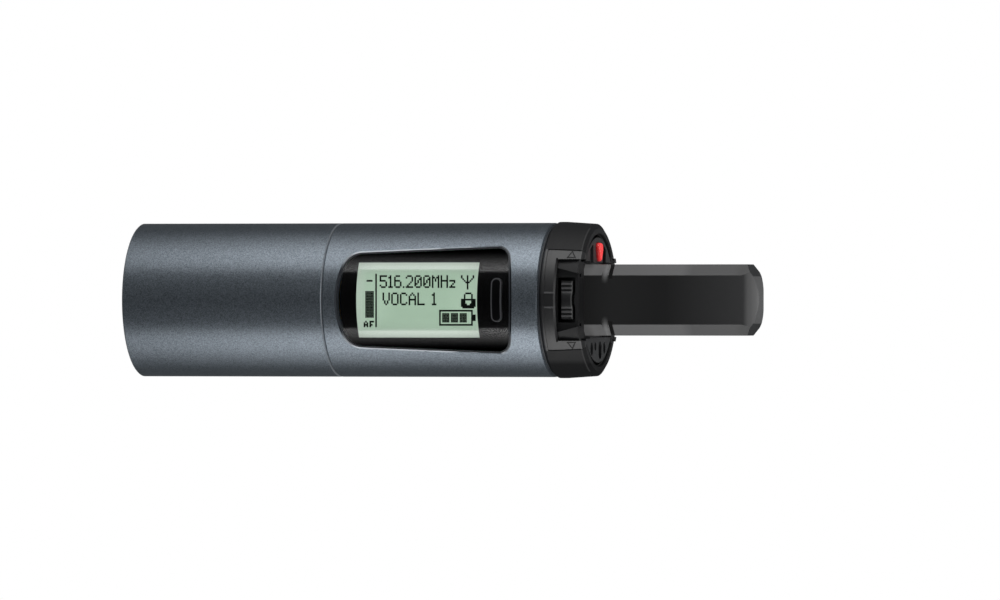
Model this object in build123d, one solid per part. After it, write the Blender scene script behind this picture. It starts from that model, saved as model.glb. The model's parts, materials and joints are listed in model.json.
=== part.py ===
from build123d import *

import os
from math import cos, pi, radians, sin, sqrt

# Body of a handheld radio microphone transmitter, in millimetres.
# X is the long axis. The origin is the centre of the socket mouth that the
# microphone module screws into, and +X runs towards the antenna.
# The display faces -Y, and +Z is up.

# ---------------------------------------------------------------- driving dimensions
BODY_R = 20.0  # outer radius of casing and sleeve
WALL = 1.6  # metal wall
SEAM_X = 54.0  # casing ends here
SLEEVE_END_X = 111.8
CAP_START_X = 112.3
CAP_END_X = 123.25
TIP_X = 166.4  # antenna tip
SEAM_GAP = 0.1
METAL_EDGE = 0.3  # chamfer on the ends of casing and sleeve

SOCKET_R = 17.4  # thread bore of the microphone module socket
SOCKET_SEAT_R = SOCKET_R + 1.3  # the thread ring sits in here
SOCKET_DEPTH = 9.0
CONTACT_BOARD_X = (SOCKET_DEPTH + 0.4, SOCKET_DEPTH + 1.4)
CONTACT_RING_RADII = (4.0, 7.5, 11.0)
CONTACT_RING_HALF = 0.8
CONTACT_RING_THICK = 0.2
CARRIER_BORE_R = 12.8
CARRIER_THICK = 2.4
CARRIER_SCREW_R = 14.6  # radius of the circle the screws stand on

RUN_GAP = 0.05  # radial clearance of turning and sliding fits
FIT_GAP = 0.1  # clearance of pieces that are only put together

CASING_BORE_R = BODY_R - WALL - FIT_GAP
SLEEVE_BORE_R = BODY_R - WALL
COUPLING_R = CASING_BORE_R - RUN_GAP
COLLAR_R = 16.9
COUPLING_BORE_R = COLLAR_R + RUN_GAP
COUPLING_X = (48.0, 53.8)
COLLAR_FLANGE = 2.0

WINDOW_X = (57.95, 103.0)  # left edge at its bulge, right edge at its corners
WINDOW_CORNER_X = 60.5
WINDOW_HALF = (12.15, 13.9)  # half height at the left and right corners
WINDOW_BULGE = 1.6
WINDOW_ROUND = (4.8, 3.8)
WINDOW_CHAMFER = 0.4
LENS_R = 19.65
LENS_THICK = 1.1
GASKET_WIDTH = 0.4
MASK_THICK = 0.15
MASK_INSET = 0.6
SCREEN_X = (63.0, 95.4)  # visible part of the display
SCREEN_HALF = 9.7
PLUG_X = (99.2, 102.2)
PLUG_HALF = 5.8
PLUG_HALF_WIDTH = 1.5
PLUG_CLEARANCE = 0.12

LCD_X = (60.6, 97.4)
LCD_HALF = 11.0
LCD_Y = (-13.6, -11.7)
DIFFUSER_Y = (-11.6, -10.6)

CELL_R = 7.25  # AA cell
CELL_LENGTH = 50.5
CELL_Z = 7.4
CELL_Y = 3.0
TRAY_R = 16.1
TRAY_X = (13.5, 67.0)
TRAY_Y = (-6.0, 3.4)
CELL_X0 = 14.8
CELL_NUB = 1.0  # raised positive terminal

BOARD_THICK = 1.0
DISPLAY_BOARD_Y = -10.4
DISPLAY_BOARD_END_X = SLEEVE_END_X - 6.6  # full width up to here
DISPLAY_CHIPS = (  # x, height, z
    ((74, 84), 1.2, (-5, 5)),  # display controller
    ((88, 94), 1.0, (2, 8)),  # memory
    ((88, 95), 1.0, (-9, -4)),  # voltage converter
)
RADIO_BOARD_Y = 2.0
RADIO_CHIPS = (  # x, z
    ((75, 81), (-3, 3)),  # amplifier
    ((85, 90), (-8, -3)),  # oscillator
    ((92, 97), (2, 7)),  # filter
)

CAP_R = 20.26
CAP_BORE_R = 19.1
CAP_LIP_R = 17.0
CAP_LIP = 1.2
CAP_END_R = 18.6  # outer radius of the cap's flat end
PANEL_ANGLE = 40.4  # half angle of the inset panel
PANEL_INSET = 0.22
CAP_PANEL_R = CAP_R - PANEL_INSET
CAP_WINDOW_X = 116.5
CAP_WINDOW_HALF = 10.5
HOUSING_R = CAP_BORE_R - 0.2
HOUSING_END_X = 121.9
SPIGOT_X = SLEEVE_END_X - 6.2  # the housing reaches this far into the sleeve
PAD_Y = -8.6  # rear of the control pad
PAD_FRONT_Y = -10.7  # rear of its full-length front part
PAD_STEP_X = 121.3
PAD_HALF = 9.9
LAND_X = 122.9
PLATE_R = 16.85
LAND_R = 16.2
PLATE_THICK = 1.1
CHANNEL_X = 120.4

ROCKER_X = (117.4, 120.4)
ROCKER_HALF = 4.9
ROCKER_TOP_Y = -17.3  # tops of the grip ribs
ROCKER_PIVOT_Y = -14.5
ROCKER_PIN_R = 0.6
ROCKER_TRAVEL = 0.8
ROCKER_FOOT_Y = ROCKER_PIVOT_Y + 2.6  # foot of the rocker's plunger
SLOT_X = (116.3, 121.0)
SLOT_HALF = 5.8
WAIST_R = 8.0  # curve that narrows the rocker and its slot at the middle
WAIST_DEPTH = 0.3
POCKET_Y = -16.2
ROOM_ROOF_Y = ROCKER_PIVOT_Y - 0.4  # top of the hollow under the rocker

BUTTON_Z = 12.4
BUTTON_TRAVEL = 0.8
BUTTON_STEM_X = (LAND_X - 2.7, LAND_X - 1.9)
SWITCH_TOP_X = BUTTON_STEM_X[0] - BUTTON_TRAVEL - 0.1

VENT_SLOTS = (  # y, z, length, width
    (-6.5, -12.7, 3.4, 2.8),
    (-2.8, -12.0, 2.2, 1.8),
    (2.1, -13.0, 4.6, 3.0),
    (6.5, -12.4, 3.0, 2.0),
)
SCREW_PLACES = ((12.6, -6.0), (12.6, 6.0))  # y, z
SCREW_HOLE_R = 0.85

ANTENNA_HALF = 9.2
ANTENNA_THICK = 12.4
ANTENNA_BEVEL = 2.8
ANTENNA_ROUND = 0.45
ANTENNA_ROOT_X = 118.1
ANTENNA_WALL = 1.5
TIP_ROUND = 4.2
BAND_X = (125.5, 127.1)  # softly rounded band at the foot of the antenna
BAND_ROUND = 5.0
GROOVE_X = (127.3, 128.3)
GROOVE_DEPTH = 0.8
GROOVE_END_Z = 5.6

ALONG_X = Rot(0, 90, 0)
ALONG_Y = Rot(-90, 0, 0)
FROM_BELOW = (Align.CENTER, Align.CENTER, Align.MIN)


# ---------------------------------------------------------------- shape helpers
def disc(radius, x0, x1, y=0.0, z=0.0):
    """Cylinder along X from x0 to x1."""
    return Pos(x0, y, z) * ALONG_X * Cylinder(radius, x1 - x0, align=FROM_BELOW)


def post(radius, y0, y1, x, z):
    """Cylinder along Y from y0 to y1."""
    return Pos(x, y0, z) * ALONG_Y * Cylinder(radius, y1 - y0, align=FROM_BELOW)


def tube(outer, inner, x0, x1):
    """Ring along X."""
    return disc(outer, x0, x1) - disc(inner, x0, x1)


def block(x, y, z):
    """Box from three (low, high) pairs."""
    sizes = [high - low for low, high in (x, y, z)]
    middle = [(high + low) / 2 for low, high in (x, y, z)]
    return Pos(*middle) * Box(*sizes)


def turned(points):
    """Solid of revolution about X from (x, radius) points."""
    return revolve(make_face(Polyline(*points, close=True)), Axis.X, 360)


def facing_front(sketch, y0, y1):
    """Prism along Y from y0 to y1 whose outline is given in X and Z."""
    plane = Plane(origin=(0, y1, 0), x_dir=(1, 0, 0), z_dir=(0, -1, 0))
    return extrude(plane * sketch, amount=y1 - y0)


def facing_end(sketch, x0, x1):
    """Prism along X from x0 to x1 whose outline is given in Y and Z."""
    plane = Plane(origin=(x0, 0, 0), x_dir=(0, 1, 0), z_dir=(1, 0, 0))
    return extrude(plane * sketch, amount=x1 - x0)


def sector(half_angle, x0, x1, side=-1):
    """Wedge about X that opens towards -Y (side -1) or +Y (side 1)."""
    reach = 2 * BODY_R
    half = radians(half_angle)
    corner = (side * reach * cos(half), reach * sin(half))
    wedge = Polyline((0, 0), corner, (corner[0], -corner[1]), close=True)
    return facing_end(make_face(wedge), x0, x1)


def merge(shapes):
    """One shape from a list."""
    first, *rest = shapes
    for shape in rest:
        first = first + shape
    return first


# ---------------------------------------------------------------- window outline
def window_outline(inset=0.0):
    """Rounded trapezoid of the display window, shrunk by inset."""
    left = WINDOW_CORNER_X
    right = WINDOW_X[1]
    low, high = WINDOW_HALF
    edges = [
        ThreePointArc((left, -low), (WINDOW_X[0], 0), (left, low)),
        Line((left, low), (right, high)),
        ThreePointArc((right, high), (right + WINDOW_BULGE, 0), (right, -high)),
        Line((right, -high), (left, -low)),
    ]
    face = make_face(edges)
    lefts = face.vertices().filter_by(lambda v: v.X < WINDOW_X[1] - 5)
    face = fillet(lefts, WINDOW_ROUND[0])
    rights = face.vertices().filter_by(lambda v: abs(v.X - right) < 0.01)
    face = fillet(rights, WINDOW_ROUND[1])
    if inset:
        face = offset(face, amount=-inset)
    return face


def window_shell(inset, outer, inner):
    """Curved plate of the window outline between two radii."""
    prism = facing_front(window_outline(inset), -BODY_R - 1, -BODY_R / 2)
    return prism & tube(outer, inner, WINDOW_X[0] - 2, WINDOW_X[1] + 2)


def pill(half_length, half_width):
    """Slot outline that stands along Z, centred on the blank plug."""
    middle = sum(PLUG_X) / 2
    straight = 2 * (half_length - half_width)
    return Pos(middle, 0) * Rot(0, 0, 90) * SlotCenterToCenter(straight, 2 * half_width)


# ---------------------------------------------------------------- upper casing group
def upper_casing():
    seat_x = SOCKET_DEPTH + FIT_GAP
    return turned(
        [
            (0, SOCKET_SEAT_R),
            (0, BODY_R - METAL_EDGE),
            (METAL_EDGE, BODY_R),
            (SEAM_X - METAL_EDGE, BODY_R),
            (SEAM_X, BODY_R - METAL_EDGE),
            (SEAM_X, CASING_BORE_R),
            (seat_x, CASING_BORE_R),
            (seat_x, SOCKET_SEAT_R),
        ]
    )


def capsule_thread_ring():
    return tube(SOCKET_SEAT_R - RUN_GAP, SOCKET_R, 0, SOCKET_DEPTH)


def carrier_screw_places():
    """Three evenly spaced (y, z) places, the first one straight up."""
    turns = [pi / 2 + 2 * pi * i / 3 for i in range(3)]
    return [(CARRIER_SCREW_R * cos(t), CARRIER_SCREW_R * sin(t)) for t in turns]


def capsule_contact_board():
    hole_r = 1.1
    board = disc(CASING_BORE_R - FIT_GAP, *CONTACT_BOARD_X)
    for y, z in carrier_screw_places():
        board -= disc(hole_r, *CONTACT_BOARD_X, y, z)
    return board


def contact_rings():
    top = CONTACT_BOARD_X[0]
    half = CONTACT_RING_HALF
    rings = [tube(r + half, r - half, top - CONTACT_RING_THICK, top) for r in CONTACT_RING_RADII]
    return merge(rings)


def contact_carrier():
    hole_r = 0.85
    x = (CONTACT_BOARD_X[1], CONTACT_BOARD_X[1] + CARRIER_THICK)
    carrier = tube(CASING_BORE_R - FIT_GAP, CARRIER_BORE_R, *x)
    for y, z in carrier_screw_places():
        carrier -= disc(hole_r, *x, y, z)
    return carrier


def carrier_screws():
    head_r, head_thick, shank_r = 1.5, 0.35, 0.8
    slot_reach, slot_half, slot_depth = 1.1, 0.2, 0.2
    seat = CONTACT_BOARD_X[0]
    top = seat - head_thick
    end = CONTACT_BOARD_X[1] + CARRIER_THICK - 0.2
    slot_x = (top, top + slot_depth)
    screws = []
    for y, z in carrier_screw_places():
        screw = disc(head_r, top, seat, y, z) + disc(shank_r, seat, end, y, z)
        wide_y, thin_y = (y - slot_reach, y + slot_reach), (y - slot_half, y + slot_half)
        wide_z, thin_z = (z - slot_reach, z + slot_reach), (z - slot_half, z + slot_half)
        screws.append(screw - block(slot_x, wide_y, thin_z) - block(slot_x, thin_y, wide_z))
    return merge(screws)


# ---------------------------------------------------------------- coupling and collar
def coupling_ring():
    ring = tube(COUPLING_R, COUPLING_BORE_R, *COUPLING_X)
    groove_start, groove_width, groove_depth = COUPLING_X[0] + 1.2, 1.0, 0.4
    groove_r = (COUPLING_R + 1, COUPLING_R - groove_depth)
    return ring - tube(*groove_r, groove_start, groove_start + groove_width)


def guide_collar():
    end_x = SEAM_X + COLLAR_FLANGE
    neck = tube(COLLAR_R, TRAY_R + FIT_GAP, COUPLING_X[0] - COLLAR_FLANGE, end_x)
    flange = tube(SLEEVE_BORE_R - FIT_GAP, TRAY_R + FIT_GAP, SEAM_X + 0.3, end_x)
    return neck + flange


def chassis_frame():
    """Two side rails from the guide collar to the control housing."""
    rail_half, rail_bore_r = 8.5, TRAY_R + 0.9
    start = SEAM_X + COLLAR_FLANGE + FIT_GAP
    rails = tube(SLEEVE_BORE_R - FIT_GAP, rail_bore_r, start, SPIGOT_X - 0.2)
    return rails & block((SEAM_X, SLEEVE_END_X), (-rail_half, rail_half), (-BODY_R, BODY_R))


# ---------------------------------------------------------------- lower sleeve and window
def on_window_rim(edge):
    """True for the outer edges of the window cut-out."""
    middle = edge.position_at(0.5)
    in_front = middle.Y < -BODY_R / 2 and WINDOW_X[0] - 1 < middle.X < WINDOW_X[1] + 1
    return in_front and abs(sqrt(middle.Y**2 + middle.Z**2) - BODY_R) < 0.01


def lower_sleeve():
    start = SEAM_X + SEAM_GAP
    sleeve = turned(
        [
            (start, SLEEVE_BORE_R),
            (start, BODY_R - METAL_EDGE),
            (start + METAL_EDGE, BODY_R),
            (SLEEVE_END_X - METAL_EDGE, BODY_R),
            (SLEEVE_END_X, BODY_R - METAL_EDGE),
            (SLEEVE_END_X, SLEEVE_BORE_R),
        ]
    )
    sleeve -= facing_front(window_outline(), -BODY_R - 1, -BODY_R / 2)
    rim = sleeve.edges().filter_by(on_window_rim)
    return chamfer(rim, WINDOW_CHAMFER)


def window_gasket():
    outside = window_shell(RUN_GAP, LENS_R - RUN_GAP, LENS_R - LENS_THICK)
    return outside - window_shell(GASKET_WIDTH, LENS_R + 1, LENS_R - LENS_THICK - 1)


def display_window():
    lens = window_shell(GASKET_WIDTH + RUN_GAP, LENS_R, LENS_R - LENS_THICK)
    hole = facing_front(pill(PLUG_HALF, PLUG_HALF_WIDTH), -BODY_R - 1, -BODY_R / 2)
    return lens - hole


def switch_blank_plug():
    outline = pill(PLUG_HALF - PLUG_CLEARANCE, PLUG_HALF_WIDTH - PLUG_CLEARANCE)
    plug = facing_front(outline, -BODY_R - 1, -BODY_R / 2)
    x = (PLUG_X[0] - 1, PLUG_X[1] + 1)
    return plug & tube(LENS_R + 0.02, LENS_R - LENS_THICK + FIT_GAP, *x)


def window_mask():
    top = LENS_R - LENS_THICK
    mask = window_shell(MASK_INSET, top, top - MASK_THICK)
    opening = block(SCREEN_X, (-BODY_R - 1, -BODY_R / 2), (-SCREEN_HALF, SCREEN_HALF))
    return mask - opening


# ---------------------------------------------------------------- display
def lcd_panel():
    """Two sheets of glass, the rear one longer so that its contacts lie open."""
    ledge_length, front_thick = 1.6, 0.8
    glass = block(LCD_X, LCD_Y, (-LCD_HALF, LCD_HALF))
    ledge_x = (LCD_X[1] - ledge_length, LCD_X[1])
    ledge_y = (LCD_Y[0], LCD_Y[0] + front_thick)
    return glass - block(ledge_x, ledge_y, (-LCD_HALF, LCD_HALF))


def lcd_frame():
    """Tray round the glass with a thin front edge."""
    rim, front_thick, gap = 0.6, 0.3, FIT_GAP
    view_left, view_right, view_side = 1.8, 0.6, 0.4
    outer = block(
        (LCD_X[0] - rim, LCD_X[1] + rim),
        (LCD_Y[0] - front_thick, DISPLAY_BOARD_Y),
        (-LCD_HALF - rim, LCD_HALF + rim),
    )
    inside = block(
        (LCD_X[0] - gap, LCD_X[1] + gap),
        (LCD_Y[0] - RUN_GAP, DISPLAY_BOARD_Y + 1),
        (-LCD_HALF - gap, LCD_HALF + gap),
    )
    view = block(
        (SCREEN_X[0] - view_left, SCREEN_X[1] + view_right),
        (LCD_Y[0] - 1, LCD_Y[0]),
        (-SCREEN_HALF - view_side, SCREEN_HALF + view_side),
    )
    return outer - inside - view


def backlight_diffuser():
    return block(LCD_X, DIFFUSER_Y, (-LCD_HALF, LCD_HALF))


# ---------------------------------------------------------------- boards
def display_board():
    """Board behind the display with a narrow tongue under the rocker."""
    start, board_half, tongue_half = 58.0, 14.5, 8.4
    y = (DISPLAY_BOARD_Y, DISPLAY_BOARD_Y + BOARD_THICK)
    board = block((start, DISPLAY_BOARD_END_X), y, (-board_half, board_half))
    tongue_x = (DISPLAY_BOARD_END_X, SLOT_X[1] - 0.2)
    return board + block(tongue_x, y, (-tongue_half, tongue_half))


def display_chips():
    """The chips and a row of small parts behind the display board."""
    row_start, row_pitch, row_count = 70.0, 3.0, 6
    small_length, small_height, small_z = 1.6, 0.8, (10.0, 10.9)
    low = DISPLAY_BOARD_Y + BOARD_THICK
    chips = [block(x, (low, low + height), z) for x, height, z in DISPLAY_CHIPS]
    for i in range(row_count):
        x = row_start + row_pitch * i
        chips.append(block((x, x + small_length), (low, low + small_height), small_z))
    return merge(chips)


def radio_board():
    x = (TRAY_X[1] + 1.5, SLEEVE_END_X - 0.8)
    y = (RADIO_BOARD_Y, RADIO_BOARD_Y + BOARD_THICK)
    half = 13.0
    return block(x, y, (-half, half))


def shield_can():
    """Folded metal can with rows of holes in its top."""
    start, end, half, height, sheet = 72.0, 100.0, 11.0, 4.5, 0.3
    hole_r, hole_x, hole_z = 0.8, (77.0, 4.5, 5), (-6.9, 4.6, 4)  # first place, pitch, count
    top = RADIO_BOARD_Y - height
    can = block((start, end), (top, RADIO_BOARD_Y), (-half, half))
    inner = half - sheet
    can -= block((start + sheet, end - sheet), (top + sheet, RADIO_BOARD_Y), (-inner, inner))
    for i in range(hole_x[2]):
        for j in range(hole_z[2]):
            place = (hole_x[0] + hole_x[1] * i, hole_z[0] + hole_z[1] * j)
            can -= post(hole_r, top - 0.5, top + 0.5, *place)
    return can


def radio_chips():
    """Chips under the shield can."""
    height = 1.4
    y = (RADIO_BOARD_Y - height, RADIO_BOARD_Y)
    return merge([block(x, y, z) for x, z in RADIO_CHIPS])


def board_connector():
    """Plug that joins the display board to the radio board."""
    x, z = (101.0, 106.0), (-4.0, 4.0)
    return block(x, (DISPLAY_BOARD_Y + BOARD_THICK, RADIO_BOARD_Y), z)


def infrared_diode():
    x, z = (58.1, 59.7), (-1.5, 1.5)
    body_height, dome_height, dome_r = 1.6, 0.6, 0.7
    top = DISPLAY_BOARD_Y - body_height
    dome = post(dome_r, top - dome_height, top, sum(x) / 2, sum(z) / 2)
    return block(x, (top, DISPLAY_BOARD_Y), z) + dome


def status_led():
    x, z, height = (103.0, 104.2), (8.4, 10.0), 1.0
    return block(x, (DISPLAY_BOARD_Y - height, DISPLAY_BOARD_Y), z)


# ---------------------------------------------------------------- battery compartment
def cell_places():
    return [(CELL_Y, -CELL_Z), (CELL_Y, CELL_Z)]


def battery_tray():
    cell_gap, end_wall = 0.12, 1.0
    tray = disc(TRAY_R, *TRAY_X) & block(TRAY_X, TRAY_Y, (-BODY_R, BODY_R))
    room = (CELL_X0 - 0.3, TRAY_X[1] - end_wall)
    for y, z in cell_places():
        tray -= disc(CELL_R + cell_gap, *room, y, z)
    return tray


def battery_cover():
    """Thin curved door that snaps over the open side of the tray."""
    thick = 0.65
    grip_depth, grip_width, grip_pitch, grip_half, grip_count = 0.25, 0.8, 1.6, 5.0, 5
    x = (TRAY_X[0] + 0.4, TRAY_X[1] - 1.2)
    grip_start = x[1] - 14.0
    shell = tube(TRAY_R, TRAY_R - thick, *x)
    cover = shell & block(x, (TRAY_Y[1] + FIT_GAP, BODY_R), (-BODY_R, BODY_R))
    for i in range(grip_count):
        rib_x = grip_start + grip_pitch * i
        cut = tube(TRAY_R + 1, TRAY_R - grip_depth, rib_x, rib_x + grip_width)
        cover -= cut & block(x, (TRAY_R / 2, BODY_R), (-grip_half, grip_half))
    return cover


def battery_cells():
    """Two cells side by side, the second one turned end for end."""
    nub_r = 2.7
    end = CELL_X0 + CELL_LENGTH
    cells = []
    for place, (y, z) in enumerate(cell_places()):
        cell = disc(CELL_R, CELL_X0, end - CELL_NUB, y, z) + disc(nub_r, end - CELL_NUB, end, y, z)
        if place:
            cell = Pos(CELL_X0 + end, 0, 2 * z) * Rot(0, 180, 0) * cell
        cells.append(cell)
    return merge(cells)


def battery_contacts():
    """Flat plates at both ends of each cell."""
    plate_r, thin, thick = 4.0, 0.2, 0.55
    near = CELL_X0 - RUN_GAP
    far = CELL_X0 + CELL_LENGTH + RUN_GAP
    plates = []
    for y, z in cell_places():
        plates.append(disc(plate_r, near - thin, near, y, z))
        plates.append(disc(plate_r, far, far + thick, y, z))
    return merge(plates)


def link_pins():
    """Spring pins on the tray's end that meet the contact board."""
    pin_r, pin_y, places = 0.7, CELL_Y - 6.6, (-4.0, 0.0, 4.0)
    x = (CONTACT_BOARD_X[1] + 0.3, TRAY_X[0])
    return merge([disc(pin_r, *x, pin_y, z) for z in places])


def signal_flex():
    """Printed strip under the tray, from the link pins to the display board."""
    thick, half = 0.2, 5.0
    x = (TRAY_X[0] + 0.5, TRAY_X[1] + 0.5)
    return block(x, (TRAY_Y[0] - thick, TRAY_Y[0]), (-half, half))


# ---------------------------------------------------------------- controls under the cap
def pocket_outline():
    """Funnel of the thumb recess, narrower towards the end face, in X and Z."""
    start, end = SLOT_X[0] - 0.3, HOUSING_END_X + 1
    wide, narrow = 8.4, 6.6
    return make_face(
        Polyline((start, -wide), (end, -narrow), (end, narrow), (start, wide), close=True)
    )


def waist(x):
    """Cylinder along Y that bites WAIST_DEPTH into a face at x."""
    return post(WAIST_R, -BODY_R, ROCKER_PIVOT_Y - 1.5, x + WAIST_R - WAIST_DEPTH, 0)


def control_housing():
    """Ring that joins sleeve and cap, with a hollow pad that carries the rocker."""
    skin, room_half = 0.7, 8.8
    notch_y, notch_z, notch_depth = (-15.2, -13.4), (6.0, 6.8), 0.8
    spigot = tube(SLEEVE_BORE_R - FIT_GAP, PLATE_R + FIT_GAP, SPIGOT_X, SLEEVE_END_X)
    barrel = tube(HOUSING_R, PLATE_R + FIT_GAP, SLEEVE_END_X, HOUSING_END_X)
    pad_x = (SLEEVE_END_X, HOUSING_END_X)
    pad = disc(HOUSING_R, *pad_x) & block(pad_x, (-BODY_R, PAD_Y), (-PAD_HALF, PAD_HALF))
    step = (PAD_STEP_X, HOUSING_END_X + 1)
    pad -= block(step, (PAD_FRONT_Y, 0), (-BODY_R, BODY_R))
    room_y = (ROOM_ROOF_Y, PAD_Y - skin)
    room = block((pad_x[0] - 1, SLOT_X[1]), room_y, (-room_half, room_half))
    pocket = facing_front(pocket_outline(), -BODY_R - 1, POCKET_Y)
    slot = block(SLOT_X, (-BODY_R, ROOM_ROOF_Y + 1), (-SLOT_HALF, SLOT_HALF))
    slot -= waist(SLOT_X[1])
    housing = spigot + barrel + (pad - room) - pocket - slot
    notch = block((HOUSING_END_X - notch_depth, HOUSING_END_X + 1), notch_y, notch_z)
    return housing - notch - mirror(notch, Plane.XY)


def sleeve_seal():
    return tube(BODY_R - 0.4, HOUSING_R + 0.02, SLEEVE_END_X, CAP_START_X - RUN_GAP)


def land_outline():
    """D-shaped land of the end plate above or below the antenna channel, in Y and Z."""
    low = ANTENNA_HALF + 0.5
    return Circle(LAND_R) & Pos(0, (low + LAND_R) / 2) * Rectangle(2 * LAND_R, LAND_R - low)


def vent_cut(y, z, length, width):
    """Rounded slot along Z through the lower land."""
    outline = Pos(y, z) * Rot(0, 0, 90) * SlotOverall(length, width)
    return facing_end(outline, CHANNEL_X - 1, LAND_X + 1)


def side_pocket(side):
    """Recess beside the power button that follows the plate's rim."""
    middle, width, low, high = 6.4, 3.2, ANTENNA_HALF, 14.2
    rim, floor = 0.9, 0.6
    window = Pos(side * middle, (low + high) / 2) * Rectangle(width, high - low)
    return facing_end(window & Circle(LAND_R - rim), CHANNEL_X + floor, LAND_X + 1)


def button_outline(grow=0.0):
    """Drop outline of the power button, wide at the top, in Y and Z."""
    half, top, shoulder = 2.15, 2.4, 0.5
    tip_half, tip_side, tip = 0.95, -1.9, -2.4
    top_round, shoulder_round = 1.3, 1.6
    edges = [
        Line((-half, top), (half, top)),
        Line((half, top), (half, shoulder)),
        Line((half, shoulder), (tip_half, tip_side)),
        ThreePointArc((tip_half, tip_side), (0, tip), (-tip_half, tip_side)),
        Line((-tip_half, tip_side), (-half, shoulder)),
        Line((-half, shoulder), (-half, top)),
    ]
    face = make_face(edges)
    face = fillet(face.vertices().filter_by(lambda v: v.Y > top - 0.01), top_round)
    shoulders = face.vertices().filter_by(lambda v: abs(v.Y - shoulder) < 0.01)
    face = fillet(shoulders, shoulder_round)
    if grow:
        face = offset(face, amount=grow)
    return Pos(0, BUTTON_Z) * face


def end_plate():
    """Plate with a raised land above and below the antenna."""
    skin, button_gap = 1.2, 0.15
    low_x = CHANNEL_X - PLATE_THICK
    floor = disc(PLATE_R, low_x, CHANNEL_X)
    land = facing_end(land_outline(), CHANNEL_X, LAND_X)
    plate = floor + land + mirror(land, Plane.XY)
    plate -= facing_end(offset(land_outline(), amount=-skin), low_x - 1, LAND_X - skin)
    limit = PAD_HALF + FIT_GAP
    plate -= block((low_x - 1, LAND_X + 1), (-BODY_R, PAD_Y + FIT_GAP), (-limit, limit))
    plate -= facing_end(antenna_section(FIT_GAP), low_x - 1, LAND_X)
    plate -= facing_end(button_outline(button_gap), low_x - 1, LAND_X + 1)
    for side in (-1, 1):
        plate -= side_pocket(side)
    for slot in VENT_SLOTS:
        plate -= vent_cut(*slot)
    for y, z in SCREW_PLACES:
        plate -= disc(SCREW_HOLE_R, low_x - 1, CHANNEL_X + 1, y, z)
    return plate


def end_plate_screws():
    """Two button-head screws with hexagon sockets."""
    head, head_r, length, shank_r, socket_r = 0.8, 1.5, 3.5, 0.8, 0.75
    screws = []
    for y, z in SCREW_PLACES:
        screw = disc(head_r, CHANNEL_X, CHANNEL_X + head, y, z)
        screw += disc(shank_r, CHANNEL_X - length, CHANNEL_X, y, z)
        socket = extrude(Plane.YZ * RegularPolygon(socket_r, 6), amount=head)
        screws.append(screw - Pos(CHANNEL_X + head / 2, y, z) * socket)
    return merge(screws)


def power_button():
    """Button with a flange that keeps it in the end plate, and a stem for the switch."""
    flange_grow, flange_x, land_inset = 0.5, (LAND_X - 2.0, LAND_X - 1.35), 1.35
    top_x, shank_x, rounding, stem_r = LAND_X + 1.0, LAND_X - 1.4, 0.7, 0.9
    flange = facing_end(button_outline(flange_grow), *flange_x)
    flange &= facing_end(offset(land_outline(), amount=-land_inset), LAND_X - 3, LAND_X)
    shank = facing_end(button_outline(), shank_x, top_x)
    top = shank.edges().filter_by(lambda e: e.center().X > top_x - 0.1)
    shank = fillet(top, rounding)
    return shank + flange + disc(stem_r, *BUTTON_STEM_X, 0, BUTTON_Z)


def power_switch():
    half, height, nub, nub_r = 2.0, 1.6, 0.4, 1.1
    nub_x = SWITCH_TOP_X - nub
    base_x = (SWITCH_TOP_X - height, nub_x)
    base = block(base_x, (-half, half), (BUTTON_Z - half, BUTTON_Z + half))
    return base + disc(nub_r, nub_x, SWITCH_TOP_X, 0, BUTTON_Z)


def button_board():
    switch_height, y, z = 1.6, (-6.5, 6.5), (9.0, 15.2)
    top = SWITCH_TOP_X - switch_height
    return block((top - BOARD_THICK, top), y, z)


# ---------------------------------------------------------------- rocker
def rocker():
    """Crowned rocker with a smooth centre dish, raised ribs on both wings and a pivot lug."""
    x0, x1 = ROCKER_X
    middle = (x0 + x1) / 2
    crown_r, dish_r, dish_depth = 40.0, 6.0, 0.2
    rib_height, rib_half, rib_inset = 0.45, 0.26, 0.12
    rib_places = (1.95, 3.05, 4.15)
    lug_half, lug_r = 0.7, 1.1
    top = ROCKER_TOP_Y + rib_height
    base = ROCKER_PIVOT_Y - 1.5
    wings = block(ROCKER_X, (top - 1, base), (-ROCKER_HALF, ROCKER_HALF))
    body = wings & disc(crown_r, x0 - 1, x1 + 1, top + crown_r)
    for z in rib_places:
        rib_y = (ROCKER_TOP_Y + z * z / (2 * crown_r), top + 0.4)
        for side in (-1, 1):
            rib_z = (side * z - rib_half, side * z + rib_half)
            body += block((x0 + rib_inset, x1 - rib_inset), rib_y, rib_z)
    body -= disc(dish_r, x0 - 1, x1 + 1, top - dish_r + dish_depth)
    body -= waist(x1)
    lug_x = (middle - lug_half, middle + lug_half)
    body += block(lug_x, (base - 0.1, ROCKER_PIVOT_Y), (-lug_r, lug_r))
    body += disc(lug_r, *lug_x, ROCKER_PIVOT_Y)
    return body - disc(ROCKER_PIN_R + RUN_GAP, x0, x1, ROCKER_PIVOT_Y)


def rocker_pin():
    end_gap = 0.25
    return disc(ROCKER_PIN_R, ROCKER_X[0] + end_gap, ROCKER_X[1] - end_gap, ROCKER_PIVOT_Y)


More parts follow.
